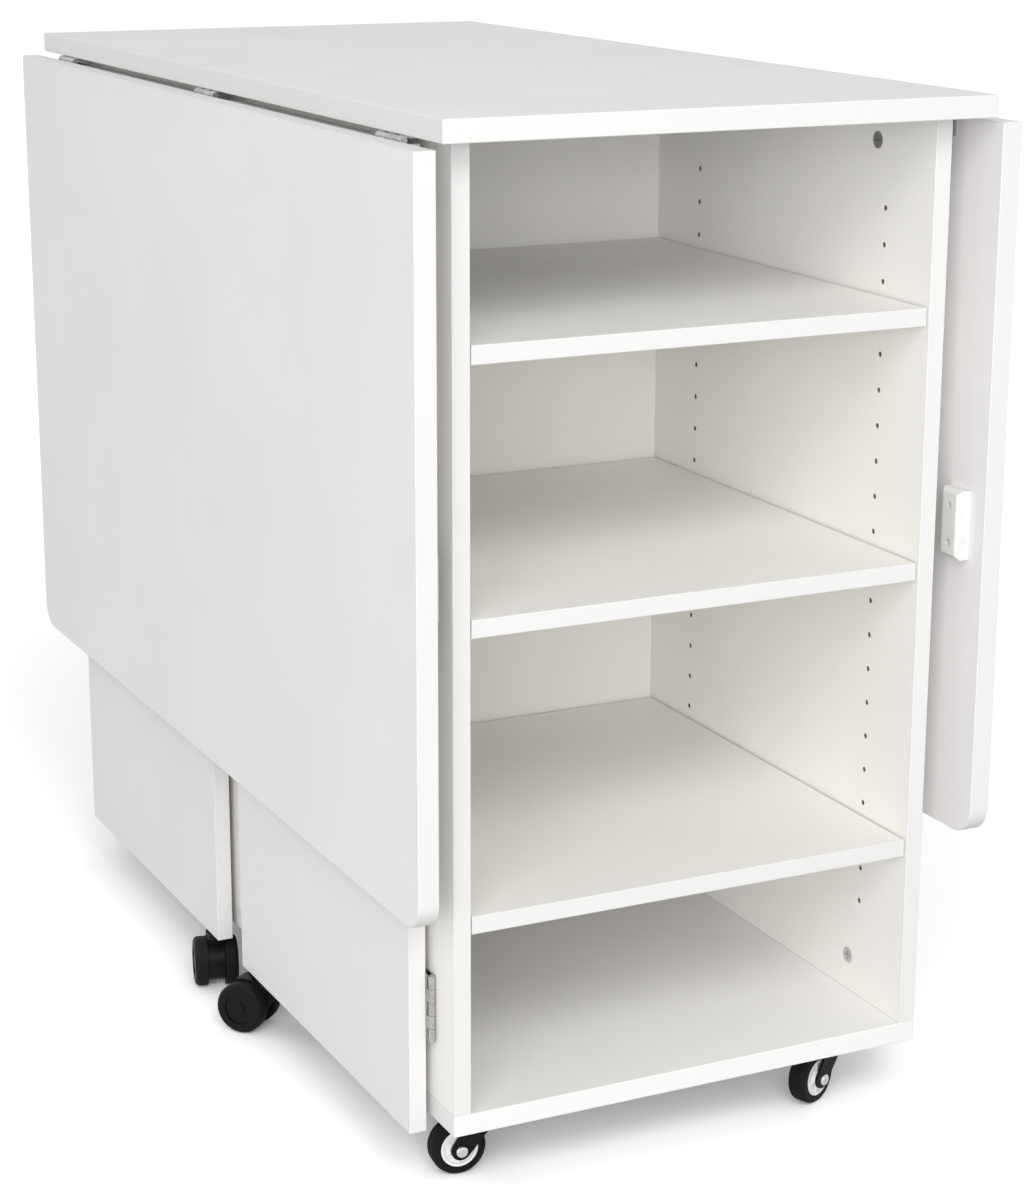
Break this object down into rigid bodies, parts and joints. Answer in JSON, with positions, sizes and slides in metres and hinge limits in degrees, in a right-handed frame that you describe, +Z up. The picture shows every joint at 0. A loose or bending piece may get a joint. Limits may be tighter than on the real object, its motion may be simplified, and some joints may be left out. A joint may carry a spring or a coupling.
{
  "type": "folding sewing cutting table",
  "caption": "Folding sewing cutting table: white shelved cabinet on casters, a drop leaf along each long side, and hinged gates on twin-wheel casters that hold the raised leaves.",
  "frame": {"origin": "on the floor under the middle of the top", "axes": "+X across the cabinet to the right as seen from the front bay, +Y from the front bay to the rear bay, +Z up"},
  "size_m": [0.5744, 1.036, 0.921],
  "materials": {
    "white_board": "white melamine on particle board, satin",
    "white_plastic": "moulded, satin",
    "zinc_steel": "zinc plated",
    "hinge_steel": "nickel plated, dull",
    "cam_metal": "die cast, dull",
    "black_metal": "black powder coat",
    "chrome": "polished",
    "white_hub": "moulded, gloss",
    "black_rubber": "soft tread, matte",
    "black_plastic": "moulded, satin",
    "black_wheel": "moulded, satin"
  },
  "bodies": {
    "cabinet": {"top_panel": "white_board", "base_panel": "white_board", "left_side_panel": "white_board", "right_side_panel": "white_board", "centre_divider": "white_board", "front_upper_shelf": "white_board", "rear_upper_shelf": "white_board", "front_middle_shelf": "white_board", "rear_middle_shelf": "white_board", "front_lower_shelf": "white_board", "rear_lower_shelf": "white_board", "shelf_pins": "zinc_steel", "cam_locks": "cam_metal", "cam_bolts": "zinc_steel", "base_caster_plates": "zinc_steel", "cabinet_hinge_plates": "hinge_steel", "hinge_pins": "hinge_steel", "cabinet_screws": "zinc_steel"},
    "left_leaf": {"left_leaf_panel": "white_board", "left_leaf_hinge_plates": "hinge_steel", "left_gate_stops": "white_plastic"},
    "right_leaf": {"right_leaf_panel": "white_board", "right_leaf_hinge_plates": "hinge_steel", "right_gate_stops": "white_plastic"},
    "front_left_gate": {"front_left_gate_panel": "white_board", "front_left_gate_hinge_plates": "hinge_steel"},
    "front_right_gate": {"front_right_gate_panel": "white_board", "front_right_gate_hinge_plates": "hinge_steel"},
    "rear_left_gate": {"rear_left_gate_panel": "white_board", "rear_left_gate_hinge_plates": "hinge_steel"},
    "rear_right_gate": {"rear_right_gate_panel": "white_board", "rear_right_gate_hinge_plates": "hinge_steel"},
    "front_left_caster_swivel": {"front_left_caster_fork": "black_metal", "front_left_caster_axle": "chrome"},
    "front_left_caster_wheel": {"front_left_caster_hub": "white_hub", "front_left_caster_tyre": "black_rubber"},
    "front_right_caster_swivel": {"front_right_caster_fork": "black_metal", "front_right_caster_axle": "chrome"},
    "front_right_caster_wheel": {"front_right_caster_hub": "white_hub", "front_right_caster_tyre": "black_rubber"},
    "rear_left_caster_swivel": {"rear_left_caster_fork": "black_metal", "rear_left_caster_axle": "chrome"},
    "rear_left_caster_wheel": {"rear_left_caster_hub": "white_hub", "rear_left_caster_tyre": "black_rubber"},
    "rear_right_caster_swivel": {"rear_right_caster_fork": "black_metal", "rear_right_caster_axle": "chrome"},
    "rear_right_caster_wheel": {"rear_right_caster_hub": "white_hub", "rear_right_caster_tyre": "black_rubber"},
    "front_left_gate_caster_swivel": {"front_left_gate_caster_hood": "black_plastic"},
    "front_left_gate_caster_wheel_1": {"front_left_gate_caster_wheel_1": "black_wheel"},
    "front_left_gate_caster_wheel_2": {"front_left_gate_caster_wheel_2": "black_wheel"},
    "front_right_gate_caster_swivel": {"front_right_gate_caster_hood": "black_plastic"},
    "front_right_gate_caster_wheel_1": {"front_right_gate_caster_wheel_1": "black_wheel"},
    "front_right_gate_caster_wheel_2": {"front_right_gate_caster_wheel_2": "black_wheel"},
    "rear_left_gate_caster_swivel": {"rear_left_gate_caster_hood": "black_plastic"},
    "rear_left_gate_caster_wheel_1": {"rear_left_gate_caster_wheel_1": "black_wheel"},
    "rear_left_gate_caster_wheel_2": {"rear_left_gate_caster_wheel_2": "black_wheel"},
    "rear_right_gate_caster_swivel": {"rear_right_gate_caster_hood": "black_plastic"},
    "rear_right_gate_caster_wheel_1": {"rear_right_gate_caster_wheel_1": "black_wheel"},
    "rear_right_gate_caster_wheel_2": {"rear_right_gate_caster_wheel_2": "black_wheel"}
  },
  "joints": [
    {"name": "left_leaf_hinge", "type": "hinge", "parent": "cabinet", "child": "left_leaf", "pos_m": [-0.2551, 0, 0.8986], "axis": [0, 1, 0], "range_deg": [0, 90]},
    {"name": "right_leaf_hinge", "type": "hinge", "parent": "cabinet", "child": "right_leaf", "pos_m": [0.2551, 0, 0.8986], "axis": [0, -1, 0], "range_deg": [0, 90]},
    {"name": "front_left_gate_hinge", "type": "hinge", "parent": "cabinet", "child": "front_left_gate", "pos_m": [-0.2344, -0.448, 0.0535], "axis": [0, 0, 1], "range_deg": [0, 0.5]},
    {"name": "front_right_gate_hinge", "type": "hinge", "parent": "cabinet", "child": "front_right_gate", "pos_m": [0.2344, -0.448, 0.0535], "axis": [0, 0, -1], "range_deg": [0, 0.5]},
    {"name": "rear_left_gate_hinge", "type": "hinge", "parent": "cabinet", "child": "rear_left_gate", "pos_m": [-0.2344, 0.448, 0.0535], "axis": [0, 0, -1], "range_deg": [0, 0.5]},
    {"name": "rear_right_gate_hinge", "type": "hinge", "parent": "cabinet", "child": "rear_right_gate", "pos_m": [0.2344, 0.448, 0.0535], "axis": [0, 0, 1], "range_deg": [0, 0.5]},
    {"name": "front_left_caster_swivel", "type": "hinge", "parent": "cabinet", "child": "front_left_caster_swivel", "pos_m": [-0.1755, -0.427, 0.057], "axis": [0, 0, 1], "continuous": true},
    {"name": "front_left_caster_roll", "type": "hinge", "parent": "front_left_caster_swivel", "child": "front_left_caster_wheel", "pos_m": [-0.20136, -0.42428, 0.025], "axis": [-0.1045, -0.9945, 0], "continuous": true},
    {"name": "front_right_caster_swivel", "type": "hinge", "parent": "cabinet", "child": "front_right_caster_swivel", "pos_m": [0.1755, -0.427, 0.057], "axis": [0, 0, 1], "continuous": true},
    {"name": "front_right_caster_roll", "type": "hinge", "parent": "front_right_caster_swivel", "child": "front_right_caster_wheel", "pos_m": [0.15175, -0.43757, 0.025], "axis": [0.4067, -0.9135, 0], "continuous": true},
    {"name": "rear_left_caster_swivel", "type": "hinge", "parent": "cabinet", "child": "rear_left_caster_swivel", "pos_m": [-0.1755, 0.427, 0.057], "axis": [0, 0, 1], "continuous": true},
    {"name": "rear_left_caster_roll", "type": "hinge", "parent": "rear_left_caster_swivel", "child": "rear_left_caster_wheel", "pos_m": [-0.18771, 0.44996, 0.025], "axis": [-0.8829, -0.4695, 0], "continuous": true},
    {"name": "rear_right_caster_swivel", "type": "hinge", "parent": "cabinet", "child": "rear_right_caster_swivel", "pos_m": [0.1755, 0.427, 0.057], "axis": [0, 0, 1], "continuous": true},
    {"name": "rear_right_caster_roll", "type": "hinge", "parent": "rear_right_caster_swivel", "child": "rear_right_caster_wheel", "pos_m": [0.1968, 0.44191, 0.025], "axis": [-0.5736, 0.8192, 0], "continuous": true},
    {"name": "front_left_gate_caster_swivel", "type": "hinge", "parent": "front_left_gate", "child": "front_left_gate_caster_swivel", "pos_m": [-0.2458, -0.0705, 0.057], "axis": [0, 0, 1], "continuous": true},
    {"name": "front_left_gate_caster_roll_1", "type": "hinge", "parent": "front_left_gate_caster_swivel", "child": "front_left_gate_caster_wheel_1", "pos_m": [-0.2563, -0.05842, 0.025], "axis": [-0.7547, -0.6561, 0], "continuous": true},
    {"name": "front_left_gate_caster_roll_2", "type": "hinge", "parent": "front_left_gate_caster_swivel", "child": "front_left_gate_caster_wheel_2", "pos_m": [-0.2563, -0.05842, 0.025], "axis": [-0.7547, -0.6561, 0], "continuous": true},
    {"name": "front_right_gate_caster_swivel", "type": "hinge", "parent": "front_right_gate", "child": "front_right_gate_caster_swivel", "pos_m": [0.2458, -0.0705, 0.057], "axis": [0, 0, 1], "continuous": true},
    {"name": "front_right_gate_caster_roll_1", "type": "hinge", "parent": "front_right_gate_caster_swivel", "child": "front_right_gate_caster_wheel_1", "pos_m": [0.2563, -0.05842, 0.025], "axis": [-0.7547, 0.6561, 0], "continuous": true},
    {"name": "front_right_gate_caster_roll_2", "type": "hinge", "parent": "front_right_gate_caster_swivel", "child": "front_right_gate_caster_wheel_2", "pos_m": [0.2563, -0.05842, 0.025], "axis": [-0.7547, 0.6561, 0], "continuous": true},
    {"name": "rear_left_gate_caster_swivel", "type": "hinge", "parent": "rear_left_gate", "child": "rear_left_gate_caster_swivel", "pos_m": [-0.2458, 0.0705, 0.057], "axis": [0, 0, 1], "continuous": true},
    {"name": "rear_left_gate_caster_roll_1", "type": "hinge", "parent": "rear_left_gate_caster_swivel", "child": "rear_left_gate_caster_wheel_1", "pos_m": [-0.24994, 0.05504, 0.025], "axis": [0.9659, -0.2588, 0], "continuous": true},
    {"name": "rear_left_gate_caster_roll_2", "type": "hinge", "parent": "rear_left_gate_caster_swivel", "child": "rear_left_gate_caster_wheel_2", "pos_m": [-0.24994, 0.05504, 0.025], "axis": [0.9659, -0.2588, 0], "continuous": true},
    {"name": "rear_right_gate_caster_swivel", "type": "hinge", "parent": "rear_right_gate", "child": "rear_right_gate_caster_swivel", "pos_m": [0.2458, 0.0705, 0.057], "axis": [0, 0, 1], "continuous": true},
    {"name": "rear_right_gate_caster_roll_1", "type": "hinge", "parent": "rear_right_gate_caster_swivel", "child": "rear_right_gate_caster_wheel_1", "pos_m": [0.23662, 0.05739, 0.025], "axis": [0.8192, -0.5736, 0], "continuous": true},
    {"name": "rear_right_gate_caster_roll_2", "type": "hinge", "parent": "rear_right_gate_caster_swivel", "child": "rear_right_gate_caster_wheel_2", "pos_m": [0.23662, 0.05739, 0.025], "axis": [0.8192, -0.5736, 0], "continuous": true}
  ]
}
